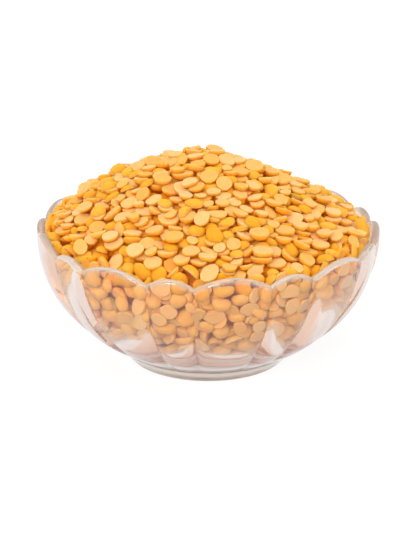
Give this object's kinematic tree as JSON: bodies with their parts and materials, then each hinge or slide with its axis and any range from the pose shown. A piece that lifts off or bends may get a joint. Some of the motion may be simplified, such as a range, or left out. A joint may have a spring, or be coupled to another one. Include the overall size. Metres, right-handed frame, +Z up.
{
  "type": "dish of chana dal",
  "caption": "Clear pressed-glass bowl with a scalloped petal rim and a foot ring, heaped high with split yellow chickpeas.",
  "frame": {"origin": "centre of the foot ring, on the plane that the bowl stands on", "axes": "+Z up along the bowl's axis, -Y towards the side that faces the viewer, +X to the viewer's right"},
  "size_m": [0.126, 0.1254, 0.079],
  "materials": {
    "clear_glass": "clear, fire-polished gloss",
    "split_chickpea": "matt cut faces, slightly satin round backs"
  },
  "bodies": {
    "root": {"glass_bowl": "clear_glass", "dal_heap": "split_chickpea"}
  },
  "joints": []
}
